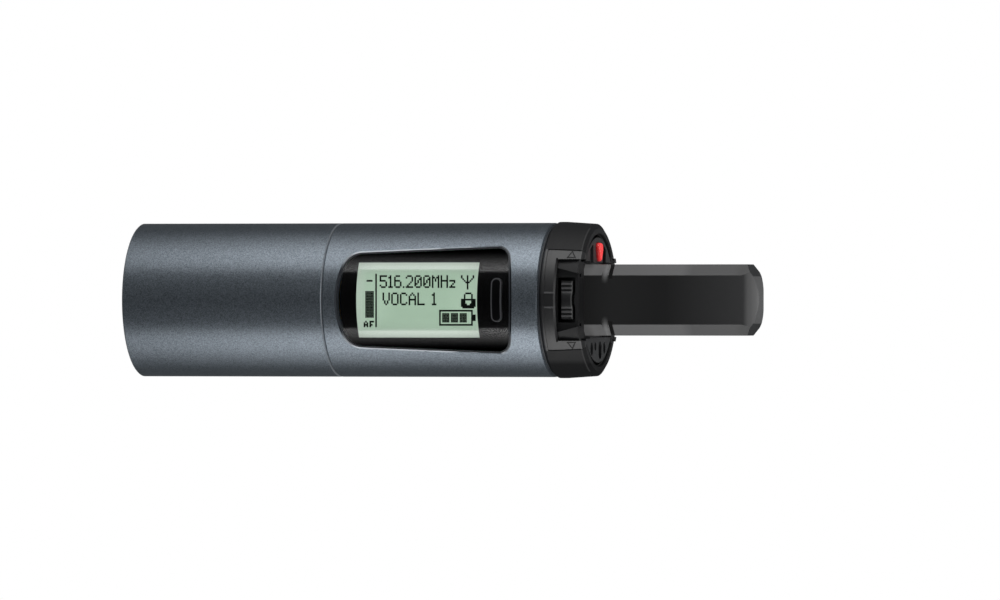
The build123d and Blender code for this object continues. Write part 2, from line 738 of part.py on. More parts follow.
def rocker_plunger():
    """Fork that holds the rocker's pin and presses the switch with its foot."""
    base_half, arm_thick, arm_half, arm_reach, foot_r = 1.5, 0.55, 1.1, 1.0, 0.8
    x0, x1 = ROCKER_X[0] + FIT_GAP, ROCKER_X[1] - FIT_GAP
    base_y = (ROCKER_PIVOT_Y + 1.3, ROCKER_PIVOT_Y + 2.1)
    fork = block((x0, x1), base_y, (-base_half, base_half))
    for x in ((x0, x0 + arm_thick), (x1 - arm_thick, x1)):
        fork += block(x, (ROCKER_PIVOT_Y - arm_reach, base_y[1]), (-arm_half, arm_half))
    fork -= disc(ROCKER_PIN_R, x0, x1, ROCKER_PIVOT_Y)
    return fork + post(foot_r, base_y[1], ROCKER_FOOT_Y, (x0 + x1) / 2, 0)


def rocker_switch():
    x, z = (117.0, 120.6), (-2.2, 2.2)
    top = ROCKER_FOOT_Y + ROCKER_TRAVEL + 0.1
    return block(x, (top, DISPLAY_BOARD_Y), z)


# ---------------------------------------------------------------- protection cap
def cap_ring(inset=0.0):
    """Ring with an inward lip at its end; inset makes it thinner from outside."""
    lip_x = CAP_END_X - CAP_LIP
    edge, taper_start, taper, lip_edge = 0.75, 2.6, 0.5, 0.3
    return turned(
        [
            (CAP_START_X, CAP_BORE_R),
            (CAP_START_X, CAP_R - edge - inset),
            (CAP_START_X + edge, CAP_R - inset),
            (CAP_START_X + taper_start, CAP_R - inset),
            (CAP_END_X - edge, CAP_R - taper - inset),
            (CAP_END_X, CAP_END_R),
            (CAP_END_X, CAP_LIP_R + lip_edge),
            (CAP_END_X - lip_edge, CAP_LIP_R),
            (lip_x, CAP_LIP_R),
            (lip_x, CAP_BORE_R),
        ]
    )


def triangle_groove(x, z, up):
    """Outline of a pointer triangle, in X and Z."""
    half, height, line = 1.25, 1.95, 0.26
    tip = up * height / 2
    corners = ((x - half, z - tip), (x + half, z - tip), (x, z + tip))
    whole = make_face(Polyline(*corners, close=True))
    return whole - offset(whole, amount=-line)


def cap_window_bevel():
    """Slope that opens the cap's windows towards the sleeve."""
    bevel, limit = 0.8, CAP_WINDOW_HALF + 0.3
    edge_r = CAP_R + 0.1
    slope = turned(
        [
            (CAP_WINDOW_X - bevel, edge_r),
            (CAP_WINDOW_X, edge_r),
            (CAP_WINDOW_X, CAP_R - bevel),
        ]
    )
    return slope & block((CAP_START_X, CAP_END_X), (-BODY_R - 1, BODY_R + 1), (-limit, limit))


def lock_bars():
    """Two short raised bars on the front panel."""
    place, half, rise, root = 1.9, 0.17, 0.12, 0.4
    mark_x = (CAP_START_X + 1.5, CAP_START_X + 3.6)
    ring = tube(CAP_PANEL_R + rise, CAP_PANEL_R - root, *mark_x)
    bars = [block(mark_x, (-BODY_R - 1, 0), (z - half, z + half)) for z in (-place, place)]
    return [bar & ring for bar in bars]


def cap_nubs():
    """Two small knobs on the rear of the cap's end face."""
    rise, root, width, low = 0.5, 0.4, 1.2, 9.6
    nub_x = (CAP_END_X - root, CAP_END_X + rise)
    nub = block(nub_x, (13.9, 15.8), (low, low + width)) & tube(CAP_END_R, CAP_LIP_R + 0.3, *nub_x)
    return [nub, mirror(nub, Plane.XY)]


def protection_cap():
    whole = (CAP_START_X - 1, CAP_END_X + 1)
    panel_x = (CAP_START_X + 1.3, CAP_END_X + 1)
    cap = cap_ring()
    inset_ring = cap_ring(PANEL_INSET)
    for side in (-1, 1):
        wedge = sector(PANEL_ANGLE, *panel_x, side)
        cap = (cap - wedge) + (inset_ring & wedge)
    window_x = (CAP_WINDOW_X, CAP_END_X + 1)
    window_z = (-CAP_WINDOW_HALF, CAP_WINDOW_HALF)
    cap -= block(window_x, (-BODY_R - 1, 0), window_z)
    cap -= block(window_x, (0, BODY_R + 1), window_z) - disc(CAP_BORE_R, *whole)
    cap -= cap_window_bevel()
    mark_depth, mark_place = 0.6, (120.0, 11.75)
    for side in (-1, 1):
        outline = triangle_groove(mark_place[0], side * mark_place[1], side)
        mark = facing_front(outline, -BODY_R - 1, -BODY_R / 2)
        cap -= mark - disc(CAP_PANEL_R - mark_depth, *whole)
    for extra in lock_bars() + cap_nubs():
        cap += extra
    return cap


def cap_detent_spring():
    """Thin curved leaf on the housing that presses against the cap's bore."""
    x, z = (SLEEVE_END_X + 1.2, SLEEVE_END_X + 4.2), (-4.0, 4.0)
    leaf = tube(HOUSING_R + 0.15, HOUSING_R + 0.02, *x)
    return leaf & block(x, (0, BODY_R), z)


# ---------------------------------------------------------------- antenna
def antenna_section(grow=0.0):
    """Eight-sided section, in Y and Z."""
    half_y = ANTENNA_THICK / 2 + grow
    half_z = ANTENNA_HALF + grow
    bevel = ANTENNA_BEVEL
    points = [
        (-half_y, -half_z + bevel),
        (-half_y, half_z - bevel),
        (-half_y + bevel, half_z),
        (half_y - bevel, half_z),
        (half_y, half_z - bevel),
        (half_y, -half_z + bevel),
        (half_y - bevel, -half_z),
        (-half_y + bevel, -half_z),
    ]
    return make_face(Polyline(*points, close=True))


def antenna_plan():
    """Outline seen from the front: straight sides, cut corners, arched tip."""
    start = ANTENNA_ROOT_X - 1
    side = ANTENNA_HALF + 1
    corner = (TIP_X - 2.9, ANTENNA_HALF)  # where the cut corner starts
    shoulder = (TIP_X - 1.1, ANTENNA_HALF - 3.1)  # where it meets the arch
    edges = [
        Line((start, -side), (corner[0], -side)),
        Line((corner[0], -side), (corner[0], -corner[1])),
        Line((corner[0], -corner[1]), (shoulder[0], -shoulder[1])),
        ThreePointArc((shoulder[0], -shoulder[1]), (TIP_X, 0), shoulder),
        Line(shoulder, corner),
        Line(corner, (corner[0], side)),
        Line((corner[0], side), (start, side)),
        Line((start, side), (start, -side)),
    ]
    return make_face(edges)


def antenna_profile():
    """Outline seen from above: flat front and rear that round over into the tip."""
    half = ANTENNA_THICK / 2
    start = ANTENNA_ROOT_X - 1
    middle = (start + TIP_X) / 2
    plan = Pos(middle, 0) * Rectangle(TIP_X - start, 2 * half)
    tip = plan.vertices().filter_by(lambda v: v.X > middle)
    return extrude(fillet(tip, TIP_ROUND), amount=BODY_R, both=True)


def rounded_section(face_round):
    """Blade section with its corners rounded, those of the front and rear faces by face_round."""
    face_limit = ANTENNA_THICK / 2 - 0.01
    side_limit = ANTENNA_HALF - 0.01
    section = antenna_section()
    section = fillet(section.vertices().filter_by(lambda v: abs(v.X) > face_limit), face_round)
    return fillet(section.vertices().filter_by(lambda v: abs(v.Y) > side_limit), ANTENNA_ROUND)


def antenna_radome():
    """Hollow blade with a soft band and a cross groove at its foot, and a hidden flange."""
    flange, tip_wall = 0.8, 4.5
    blade = facing_end(rounded_section(ANTENNA_ROUND), ANTENNA_ROOT_X, TIP_X)
    blade = blade & facing_front(antenna_plan(), -BODY_R, BODY_R) & antenna_profile()
    around_band = facing_end(antenna_section(1), *BAND_X)
    blade -= around_band - facing_end(rounded_section(BAND_ROUND), *BAND_X)
    groove = facing_end(antenna_section(1), *GROOVE_X)
    groove -= facing_end(antenna_section(-GROOVE_DEPTH), *GROOVE_X)
    groove -= block(GROOVE_X, (-BODY_R, BODY_R), (-GROOVE_END_Z, GROOVE_END_Z))
    blade -= groove
    flange_end = CHANNEL_X - PLATE_THICK - FIT_GAP
    blade += facing_end(antenna_section(flange), ANTENNA_ROOT_X, flange_end)
    return blade - facing_end(antenna_section(-ANTENNA_WALL), ANTENNA_ROOT_X - 1, TIP_X - tip_wall)


def antenna_element():
    """Printed radiator: a board with a raised meander track on each side."""
    board_x, board_y, board_half = (112.4, 160.0), (-0.4, 0.4), 5.5
    start, pitch, width, count = 120.0, 4.0, 0.8, 10
    track_y, reach = (-0.5, 0.5), 4.6
    board = block(board_x, board_y, (-board_half, board_half))
    for i in range(count):
        x = start + pitch * i
        board += block((x, x + width), track_y, (-reach, reach))
        end = reach - width if i % 2 else -reach
        board += block((x, x + pitch), track_y, (end, end + width))
    return board


def antenna_feed_clip():
    """Spring clip between the radiator board and the radio board."""
    x, front_y, half = (108.0, 113.6), 0.55, 1.2
    return block(x, (front_y, RADIO_BOARD_Y), (-half, half))


PIECES = {
    "upper_casing": upper_casing,
    "capsule_thread_ring": capsule_thread_ring,
    "capsule_contact_board": capsule_contact_board,
    "contact_rings": contact_rings,
    "contact_carrier": contact_carrier,
    "carrier_screws": carrier_screws,
    "coupling_ring": coupling_ring,
    "guide_collar": guide_collar,
    "chassis_frame": chassis_frame,
    "lower_sleeve": lower_sleeve,
    "window_gasket": window_gasket,
    "display_window": display_window,
    "switch_blank_plug": switch_blank_plug,
    "window_mask": window_mask,
    "lcd_panel": lcd_panel,
    "lcd_frame": lcd_frame,
    "backlight_diffuser": backlight_diffuser,
    "display_board": display_board,
    "display_chips": display_chips,
    "radio_board": radio_board,
    "shield_can": shield_can,
    "radio_chips": radio_chips,
    "board_connector": board_connector,
    "infrared_diode": infrared_diode,
    "status_led": status_led,
    "battery_tray": battery_tray,
    "battery_cover": battery_cover,
    "battery_cells": battery_cells,
    "battery_contacts": battery_contacts,
    "link_pins": link_pins,
    "signal_flex": signal_flex,
    "control_housing": control_housing,
    "sleeve_seal": sleeve_seal,
    "end_plate": end_plate,
    "end_plate_screws": end_plate_screws,
    "power_button": power_button,
    "power_switch": power_switch,
    "button_board": button_board,
    "rocker": rocker,
    "rocker_pin": rocker_pin,
    "rocker_plunger": rocker_plunger,
    "rocker_switch": rocker_switch,
    "protection_cap": protection_cap,
    "cap_detent_spring": cap_detent_spring,
    "antenna_radome": antenna_radome,
    "antenna_element": antenna_element,
    "antenna_feed_clip": antenna_feed_clip,
}

os.makedirs("parts", exist_ok=True)
for name, make in PIECES.items():
    export_step(make(), f"parts/{name}.step")
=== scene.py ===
import json
import math

import bmesh
import bpy
from mathutils import Matrix, Vector

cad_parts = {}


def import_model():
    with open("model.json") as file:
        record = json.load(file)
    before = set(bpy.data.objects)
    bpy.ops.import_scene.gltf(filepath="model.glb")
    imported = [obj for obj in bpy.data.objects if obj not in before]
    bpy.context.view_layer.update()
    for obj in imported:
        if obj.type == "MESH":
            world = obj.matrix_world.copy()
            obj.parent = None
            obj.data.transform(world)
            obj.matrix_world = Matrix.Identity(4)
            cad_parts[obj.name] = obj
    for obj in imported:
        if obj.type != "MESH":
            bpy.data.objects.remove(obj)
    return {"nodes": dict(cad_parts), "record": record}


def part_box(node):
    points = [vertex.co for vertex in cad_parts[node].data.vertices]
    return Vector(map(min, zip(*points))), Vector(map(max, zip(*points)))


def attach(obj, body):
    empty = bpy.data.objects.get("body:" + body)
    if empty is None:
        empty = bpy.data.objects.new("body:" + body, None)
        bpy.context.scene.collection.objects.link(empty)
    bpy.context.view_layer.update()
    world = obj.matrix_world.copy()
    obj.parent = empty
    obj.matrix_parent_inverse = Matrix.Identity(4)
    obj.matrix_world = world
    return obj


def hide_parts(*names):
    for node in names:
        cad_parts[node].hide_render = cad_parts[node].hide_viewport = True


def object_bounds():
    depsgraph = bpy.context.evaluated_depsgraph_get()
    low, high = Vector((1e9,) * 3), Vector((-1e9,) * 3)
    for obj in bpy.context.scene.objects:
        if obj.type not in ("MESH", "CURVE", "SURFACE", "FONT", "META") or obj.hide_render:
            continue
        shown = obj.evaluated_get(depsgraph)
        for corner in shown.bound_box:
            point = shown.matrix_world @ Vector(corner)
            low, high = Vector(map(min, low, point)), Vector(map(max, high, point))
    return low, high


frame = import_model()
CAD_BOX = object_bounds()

# Looks of the handheld transmitter body: materials, thread, display content, stage.
# Everything is in metres, in the part's frame: X along the barrel, display towards -Y.

MM = 0.001
SEAM_X = 54.0 * MM
WINDOW_X = (56.5 * MM, 106.0 * MM)
POINTER = (120.0 * MM, 10.775 * MM, 1.25 * MM, 1.95 * MM, 0.26 * MM)  # x, foot, half, height, line
BAND_X = 126.3 * MM  # crest of the soft band at the antenna's foot
GROOVE_X = (127.3 * MM, 128.3 * MM)
scene = bpy.context.scene
nodes = frame["nodes"]


def span(node, axis):
    """Lowest and highest coordinate of a CAD node along one axis."""
    low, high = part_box(node)
    return low[axis], high[axis]


# ---------------------------------------------------------------- node graph helper
class Surface:
    """A material's node graph, with short calls for the nodes used below."""

    def __init__(self, name):
        self.material = bpy.data.materials.new(name)
        self.material.use_nodes = True
        self.tree = self.material.node_tree
        self.shader = self.tree.nodes["Principled BSDF"]
        self.output = self.tree.nodes["Material Output"]
        self.place = self.add("ShaderNodeTexCoord").outputs["Object"]

    def add(self, kind, inputs=None, **settings):
        node = self.tree.nodes.new(kind)
        for key, value in settings.items():
            setattr(node, key, value)
        for key, value in (inputs or {}).items():
            self.feed(node.inputs[key], value)
        return node

    def feed(self, socket, value):
        """Sets a socket to a number, colour or another node's output."""
        if isinstance(value, bpy.types.NodeSocket):
            self.tree.links.new(value, socket)
        elif socket.type == "RGBA" and len(value) == 3:
            socket.default_value = (*value, 1.0)
        else:
            socket.default_value = value

    def put(self, **values):
        """Feeds the principled shader: underscores stand for spaces."""
        for key, value in values.items():
            self.feed(self.shader.inputs[key.replace("_", " ")], value)

    def noise(self, size, detail=2.0, rough=0.5, stretch=(1, 1, 1)):
        """Noise with features of about this size in metres."""
        place = self.add("ShaderNodeMapping", {"Vector": self.place, "Scale": stretch})
        texture = self.add(
            "ShaderNodeTexNoise",
            {"Vector": place.outputs[0], "Scale": 1 / size, "Detail": detail, "Roughness": rough},
        )
        return texture.outputs["Fac"]

    def cells(self, size):
        """Random value per cell of about this size."""
        texture = self.add("ShaderNodeTexVoronoi", {"Vector": self.place, "Scale": 1 / size})
        return self.add("ShaderNodeSeparateColor", {"Color": texture.outputs["Color"]}).outputs[0]

    def remap(self, value, low, high, to_low, to_high):
        return self.add(
            "ShaderNodeMapRange",
            {"Value": value, "From Min": low, "From Max": high, "To Min": to_low, "To Max": to_high},
        ).outputs[0]

    def math(self, operation, a, b=0.0):
        return self.add("ShaderNodeMath", {0: a, 1: b}, operation=operation).outputs[0]

    def plus(self, a, b):
        return self.math("ADD", a, b)

    def minus(self, a, b):
        return self.math("SUBTRACT", a, b)

    def times(self, a, b):
        return self.math("MULTIPLY", a, b)

    def over(self, a, b):
        return self.math("DIVIDE", a, b)

    def most(self, a, b):
        return self.math("MAXIMUM", a, b)

    def size(self, value):
        """Value without its sign."""
        return self.math("ABSOLUTE", value)

    def inverse(self, share):
        return self.math("SUBTRACT", 1.0, share)

    def above(self, value, limit):
        """1 where value is greater than the limit, else 0."""
        return self.math("GREATER_THAN", value, limit)

    def below(self, value, limit):
        return self.math("LESS_THAN", value, limit)

    def between(self, value, low, high):
        return self.times(self.above(value, low), self.below(value, high))

    def blend(self, factor, a, b):
        mix = self.add("ShaderNodeMix", {"Factor": factor}, data_type="RGBA")
        self.feed(mix.inputs[6], a)
        self.feed(mix.inputs[7], b)
        return mix.outputs[2]

    def axes(self):
        """X, Y and Z of the shaded point, in metres."""
        return self.add("ShaderNodeSeparateXYZ", {"Vector": self.place}).outputs

    def bump(self, height, distance, strength=1.0, normal=None):
        node = self.add(
            "ShaderNodeBump", {"Height": height, "Distance": distance, "Strength": strength}
        )
        if normal is not None:
            self.feed(node.inputs["Normal"], normal)
        return node.outputs[0]

    def radial(self):
        """Direction away from the barrel's axis, in world space."""
        _, y, z = self.axes()
        away = self.add("ShaderNodeCombineXYZ", {"Y": y, "Z": z})
        away = self.add("ShaderNodeVectorMath", {0: away.outputs[0]}, operation="NORMALIZE")
        kinds = {"vector_type": "NORMAL", "convert_from": "OBJECT", "convert_to": "WORLD"}
        return self.add("ShaderNodeVectorTransform", {"Vector": away.outputs[0]}, **kinds).outputs[0]

    def rounded(self, radius):
        """Normal that softens hard edges by this radius."""
        return self.add("ShaderNodeBevel", {"Radius": radius}, samples=4).outputs[0]


# ---------------------------------------------------------------- materials
def metallic_paint():
    """Blue-grey metallic paint of fine flakes, with a painted highlight on the window's long
    chamfers and at the seam, and painted shade on the window's short chamfers.
    """
    s = Surface("casing_paint")
    flakes = s.cells(0.16 * MM)
    cloud = s.noise(0.45 * MM, 3.0)
    tone = s.plus(s.times(flakes, 0.7), s.times(cloud, 0.8))
    mix = s.remap(tone, 0.35, 1.15, 0.0, 1.0)
    colour = s.blend(mix, (0.105, 0.124, 0.143), (0.235, 0.266, 0.298))
    x, _, z = s.axes()
    true_normal = s.add("ShaderNodeNewGeometry").outputs["True Normal"]
    upright = s.add(
        "ShaderNodeVectorMath", {0: true_normal, 1: s.radial()}, operation="DOT_PRODUCT"
    ).outputs["Value"]
    steepest, flattest = 0.4, 0.93  # a chamfer's normal along the radius: a wall has 0, the skin 1
    chamfer = s.between(upright, steepest, flattest)
    at_window = s.times(chamfer, s.between(x, *WINDOW_X))
    # Painted light: the window's long chamfers are paler and glow as a painted highlight, its short
    # chamfers are darker as painted shade, and the seam's chamfer glows as a painted highlight.
    side_from, side_to, seam_width = 8 * MM, 11 * MM, 0.4 * MM
    long_chamfer_highlight = s.times(at_window, s.remap(s.size(z), side_from, side_to, 0.0, 1.0))
    short_chamfer_shade = s.minus(at_window, long_chamfer_highlight)
    seam_highlight = s.times(chamfer, s.between(x, SEAM_X - seam_width, SEAM_X))
    colour = s.blend(long_chamfer_highlight, colour, (0.40, 0.43, 0.46))
    colour = s.blend(short_chamfer_shade, colour, (0.030, 0.034, 0.040))
    s.put(
        Base_Color=colour,
        Metallic=0.9,
        Roughness=s.remap(cloud, 0.3, 0.7, 0.30, 0.37),
        Emission_Color=(0.9, 0.95, 1.0),
        Emission_Strength=s.plus(s.times(long_chamfer_highlight, 0.10), s.times(seam_highlight, 0.085)),
        Normal=s.bump(tone, 0.02 * MM, 0.36),
    )
    return s.material


def end_plastic():
    """End plate and control housing: matte mouldings, with painted shade in the rocker's recess."""
    s = Surface("end_plastic")
    fine = s.noise(0.18 * MM, 3.0, 0.6)
    _, y, z = s.axes()
    recess_front, recess_half, rocker_half = -10.0 * MM, 9.92 * MM, 6.3 * MM
    # Painted shade: the recess in front of the rocker is darker and shines less, and its sides shine
    # less still.
    shaded_recess = s.times(s.below(y, recess_front), s.below(s.size(z), recess_half))
    shaded_walls = s.times(shaded_recess, s.above(s.size(z), rocker_half))
    tone = s.blend(fine, (0.012, 0.0125, 0.0135), (0.018, 0.0185, 0.0195))
    tone = s.blend(shaded_recess, tone, (0.009, 0.009, 0.0095))
    shine = s.minus(s.remap(shaded_recess, 0.0, 1.0, 0.45, 0.38), s.times(shaded_walls, 0.04))
    s.put(
        Base_Color=tone,
        Roughness=s.remap(fine, 0.3, 0.7, 0.44, 0.58),
        Specular_IOR_Level=shine,
        Normal=s.bump(fine, 0.02 * MM, 0.35, s.rounded(0.06 * MM)),
    )
    return s.material


def moulded_plastic(name, colour, rough):
    """Matte moulded plastic: eroded grain, slight wear in tone and softened edges."""
    s = Surface(name)
    fine = s.noise(0.18 * MM, 3.0, 0.6)
    broad = s.noise(6 * MM, 2.0)
    lighter = [min(1.0, c * 1.35 + 0.004) for c in colour]
    tone = s.blend(s.remap(broad, 0.35, 0.65, 0.0, 1.0), colour, lighter)
    s.put(
        Base_Color=tone,
        Roughness=s.remap(fine, 0.3, 0.7, rough - 0.06, rough + 0.08),
        Specular_IOR_Level=0.45,
        Normal=s.bump(fine, 0.02 * MM, 0.35, s.rounded(0.12 * MM)),
    )
    return s.material


def pointer_outline(s, x, tall):
    """1 on the lines of the two triangles that point away from the display's middle."""
    middle, foot, half, height, line = POINTER
    share = s.over(s.minus(tall, foot), height)
    reach = s.minus(s.times(s.inverse(share), half), s.size(s.minus(x, middle)))
    whole = s.times(s.above(tall, foot), s.above(reach, 0.0))
    slant = line * math.hypot(half, height) / height
    hollow = s.times(s.above(tall, foot + line), s.above(reach, slant))
    return s.minus(whole, hollow)


def cap_plastic():
    """Cap: grained outside, smoother panels, pale bars and pointer lines in front; painted
    highlights glow on the rim and the pointer lines, and painted shade takes shine off the bottom.
    """
    s = Surface("cap_plastic")
    fine = s.noise(0.16 * MM, 3.0, 0.6)
    x, y, z = s.axes()
    tall = s.size(z)
    in_front = s.below(y, 0.0)
    panel_angle = math.radians(40.4)
    panel = s.below(s.math("ARCTAN2", tall, s.size(y)), panel_angle)
    start, end = span("protection_cap", 0)

    bar_x, bar_z = (start + 1.3 * MM, start + 3.8 * MM), (1.7 * MM, 2.1 * MM)
    pale_bar = s.times(s.times(s.between(x, *bar_x), s.between(tall, *bar_z)), in_front)
    # Painted light on the pointer lines: darker and without shine as painted shade in their grooves,
    # with a faint glow as a painted highlight.
    pointer = s.times(pointer_outline(s, x, tall), in_front)
    # Painted highlight: a faint glow on a band along the rim's near edge.
    rim_x, rim_z = (end - 1.45 * MM, end - 1.15 * MM), (10.5 * MM, 18.5 * MM)
    rim = s.times(s.between(x, *rim_x), s.between(tall, *rim_z))

    colour = s.blend(panel, (0.008, 0.008, 0.0085), (0.010, 0.010, 0.0105))
    colour = s.blend(pale_bar, colour, (0.075, 0.075, 0.077))
    rough = s.remap(panel, 0.0, 1.0, 0.52, 0.40)
    shine = s.times(s.remap(panel, 0.0, 1.0, 0.24, 0.66), s.inverse(pointer))
    # Less shine at the bottom is painted shade; there is less shine between the bars as well.
    shaded_underside, between_bars = (-16.6 * MM, -15.4 * MM), (1.5 * MM, 1.7 * MM)
    shine = s.times(shine, s.remap(z, *shaded_underside, 0.3, 1.0))
    shine = s.times(shine, s.remap(tall, *between_bars, 0.7, 1.0))
    s.put(
        Base_Color=s.blend(pointer, colour, (0.004, 0.004, 0.004)),
        Roughness=s.plus(rough, s.remap(fine, 0.3, 0.7, -0.04, 0.05)),
        Emission_Color=(1, 1, 1),
        Emission_Strength=s.plus(s.times(rim, 0.022), s.times(pointer, 0.036)),
        Specular_IOR_Level=shine,
        Normal=s.bump(fine, 0.02 * MM, 0.3, s.rounded(0.12 * MM)),
    )
    return s.material


def antenna_plastic():
    """Antenna: fine-grained, with bevelled flanks that shine more than the faces; painted highlights
    make the flanks paler and the faces lighter towards the tip, painted glows light the foot, the
    band and the tip, and painted shade darkens the groove.
    """
    s = Surface("antenna_plastic")
    fine = s.noise(0.12 * MM, 2.0, 0.5)
    geometry = s.add("ShaderNodeNewGeometry")
    normal = s.add("ShaderNodeSeparateXYZ", {"Vector": geometry.outputs["Normal"]})
    flank = s.remap(s.size(normal.outputs["Z"]), 0.05, 0.65, 0.0, 1.0)
    x, _, z = s.axes()
    tall = s.size(z)
    tip_x = span("antenna_radome", 0)[1]

    # Painted highlight: the flanks are paler, dimming towards the tip; painted light makes the faces
    # lighter towards the tip.
    far = s.remap(x, tip_x - 20 * MM, tip_x - 17 * MM, 0.0, 1.0)
    end = s.remap(x, tip_x - 6 * MM, tip_x - 4 * MM, 0.0, 1.0)
    face_light_to_tip = s.remap(x, tip_x - 24 * MM, tip_x - 4 * MM, 0.0, 1.0)
    face = s.blend(face_light_to_tip, (0.0105, 0.0105, 0.0107), (0.040, 0.040, 0.041))
    side = s.blend(far, (0.066, 0.066, 0.067), (0.028, 0.028, 0.029))
    side = s.blend(end, side, (0.014, 0.014, 0.014))
    plain = s.blend(flank, face, side)

    # Painted light: glows raise the flanks and faces at the foot out of the cap's shade, and painted
    # highlights glow on the band's crest and on the faces at the tip.
    root_x, shade_x = (123.0 * MM, 127.5 * MM), (120.0 * MM, 140.0 * MM)
    root_fill_light = s.times(flank, s.remap(x, *root_x, 0.080, 0.0))
    shade = s.times(s.inverse(flank), s.remap(x, *shade_x, 0.0070, 0.0015))
    band_z, band_fade = (3.9 * MM, 6.4 * MM), 1.0 * MM
    crest = s.remap(s.size(s.minus(x, BAND_X)), 0.0, band_fade, 1.0, 0.0)
    band = s.times(crest, s.remap(tall, *band_z, 0.0, 0.060))
    tip = s.remap(x, tip_x - 3.4 * MM, tip_x - 2.2 * MM, 0.0, 0.05)
    tip = s.times(tip, s.below(flank, 0.5))
    # Painted shade: the groove is darker and has no shine, with a faint glow.
    groove_from = 5.5 * MM
    groove = s.times(s.between(x, *GROOVE_X), s.above(tall, groove_from))
    painted_glow = s.most(s.most(root_fill_light, shade), s.most(band, tip))
    painted_glow = s.times(painted_glow, s.inverse(groove))
    s.put(
        Base_Color=s.blend(groove, plain, (0.006, 0.006, 0.006)),
        Emission_Color=(1, 1, 1),
        Emission_Strength=s.plus(painted_glow, s.times(groove, 0.007)),
        Roughness=s.remap(fine, 0.3, 0.7, 0.36, 0.44),
        Specular_IOR_Level=s.times(s.remap(flank, 0.0, 1.0, 0.3, 0.65), s.inverse(groove)),
        Normal=s.bump(fine, 0.01 * MM, 0.2, s.rounded(0.10 * MM)),
    )
    return s.material


def rocker_plastic():
    """Rocker: painted highlights, paler rib tops and a glow along the end edge, over dark valleys.
    """
    s = Surface("rocker_plastic")
    fine = s.noise(0.12 * MM, 2.0, 0.5)
    x, y, z = s.axes()
    end = span("rocker", 0)[1]
    depth = s.minus(y, span("rocker", 1)[0])
    # Painted highlight: the rib tops are paler.
    rib_tops = (0.20 * MM, 0.40 * MM)
    rib_top_highlight = s.remap(depth, *rib_tops, 1.0, 0.0)
    waist_depth, waist_curve = 0.3 * MM, 16 * MM  # the end edge curves in at the rocker's middle
    waist = s.minus(waist_depth, s.over(s.times(z, z), waist_curve))
    edge = s.minus(end, s.most(waist, 0.0))
    # Painted highlight: a faint glow along the end edge.
    rim_width, rim_depth = 0.30 * MM, 0.75 * MM
    rim = s.times(s.above(x, s.minus(edge, rim_width)), s.below(depth, rim_depth))
    s.put(
        Base_Color=s.blend(rib_top_highlight, (0.008, 0.008, 0.0085), (0.070, 0.070, 0.071)),
        Emission_Color=(1, 1, 1),
        Emission_Strength=s.times(rim, 0.035),
        Roughness=s.remap(fine, 0.3, 0.7, 0.34, 0.42),
        Normal=s.bump(fine, 0.01 * MM, 0.2, s.rounded(0.10 * MM)),
    )
    return s.material


def button_red():
    """Glossy red moulding that glows as painted light, brightest on its crown, with painted shade
    down and across its sides.
    """
    s = Surface("button_red")
    fine = s.noise(0.4 * MM, 2.0, 0.5)
    x, y, _ = s.axes()
    top = span("power_button", 0)[1]
    # Painted light: colour and glow fall off below the crown, and painted shade dims the glow
    # towards the sides.
    crown = s.remap(x, top - 1.3 * MM, top - 0.2 * MM, 0.0, 1.0)
    aside = s.over(s.size(y), span("power_button", 1)[1])
    side_fall = 1.3  # share of the glow that is lost at the button's sides
    painted_side_shade = s.inverse(s.times(s.math("POWER", aside, 2.0), side_fall))
    colour = s.blend(crown, (0.35, 0.003, 0.006), (0.95, 0.055, 0.055))
    s.put(
        Base_Color=colour,
        Roughness=s.remap(fine, 0.3, 0.7, 0.24, 0.30),
        Subsurface_Weight=0.15,
        Subsurface_Scale=0.5 * MM,
        Emission_Color=colour,
        Emission_Strength=s.times(s.remap(crown, 0.0, 1.0, 0.12, 0.62), painted_side_shade),
        Normal=s.rounded(0.3 * MM),
    )
    return s.material


def simple(name, colour, metallic, rough):
    """Plain finish with a little variation: plated parts, resin, film."""
    s = Surface(name)
    fine = s.noise(0.3 * MM, 3.0, 0.6)
    darker = [c * 0.82 for c in colour]
    s.put(
        Base_Color=s.blend(s.remap(fine, 0.3, 0.7, 0.0, 1.0), darker, colour),
        Metallic=metallic,
        Roughness=s.remap(fine, 0.3, 0.7, max(0.03, rough - 0.05), rough + 0.07),
        Normal=s.bump(fine, 0.01 * MM, 0.15, s.rounded(0.06 * MM)),
    )
    return s.material


def clear_window():
    """Clear window: a soft reflection on its outer face, weakest at its middle and long edges."""
    s = Surface("window_clear")
    s.tree.nodes.remove(s.shader)
    haze = s.noise(9 * MM, 2.0)
    tall = s.size(s.axes()[2])
    lit_z, middle_z = (7.7 * MM, 12.6 * MM), (7.0 * MM, 7.6 * MM)
    brightest, falloff = 0.080, 2.2
    fade = s.math("POWER", s.remap(tall, *lit_z, 1.0, 0.0), falloff)
    shine = s.times(fade, brightest)
    shine = s.times(shine, s.remap(tall, *middle_z, 0.08, 1.0))
    inside = s.add("ShaderNodeNewGeometry").outputs["Backfacing"]
    shine = s.times(shine, s.inverse(inside))
    rough = s.remap(haze, 0.3, 0.7, 0.36, 0.40)
    gloss = s.add(
        "ShaderNodeBsdfGlossy", {"Color": (1, 1, 1), "Roughness": rough, "Normal": s.radial()}
    )
    clear = s.add("ShaderNodeBsdfTransparent", {"Color": (0.97, 0.98, 0.975)})
    mix = s.add("ShaderNodeMixShader", {0: shine, 1: clear.outputs[0], 2: gloss.outputs[0]})
    s.tree.links.new(mix.outputs[0], s.output.inputs["Surface"])
    return s.material


def printed_black():
    """Opaque black print behind the window: dead matte."""
    s = Surface("window_print")
    fine = s.noise(0.2 * MM, 2.0)
    s.put(
        Base_Color=s.blend(fine, (0.0006, 0.0006, 0.0008), (0.0016, 0.0016, 0.002)),
        Roughness=0.9,
        Specular_IOR_Level=0.0,
    )
    return s.material


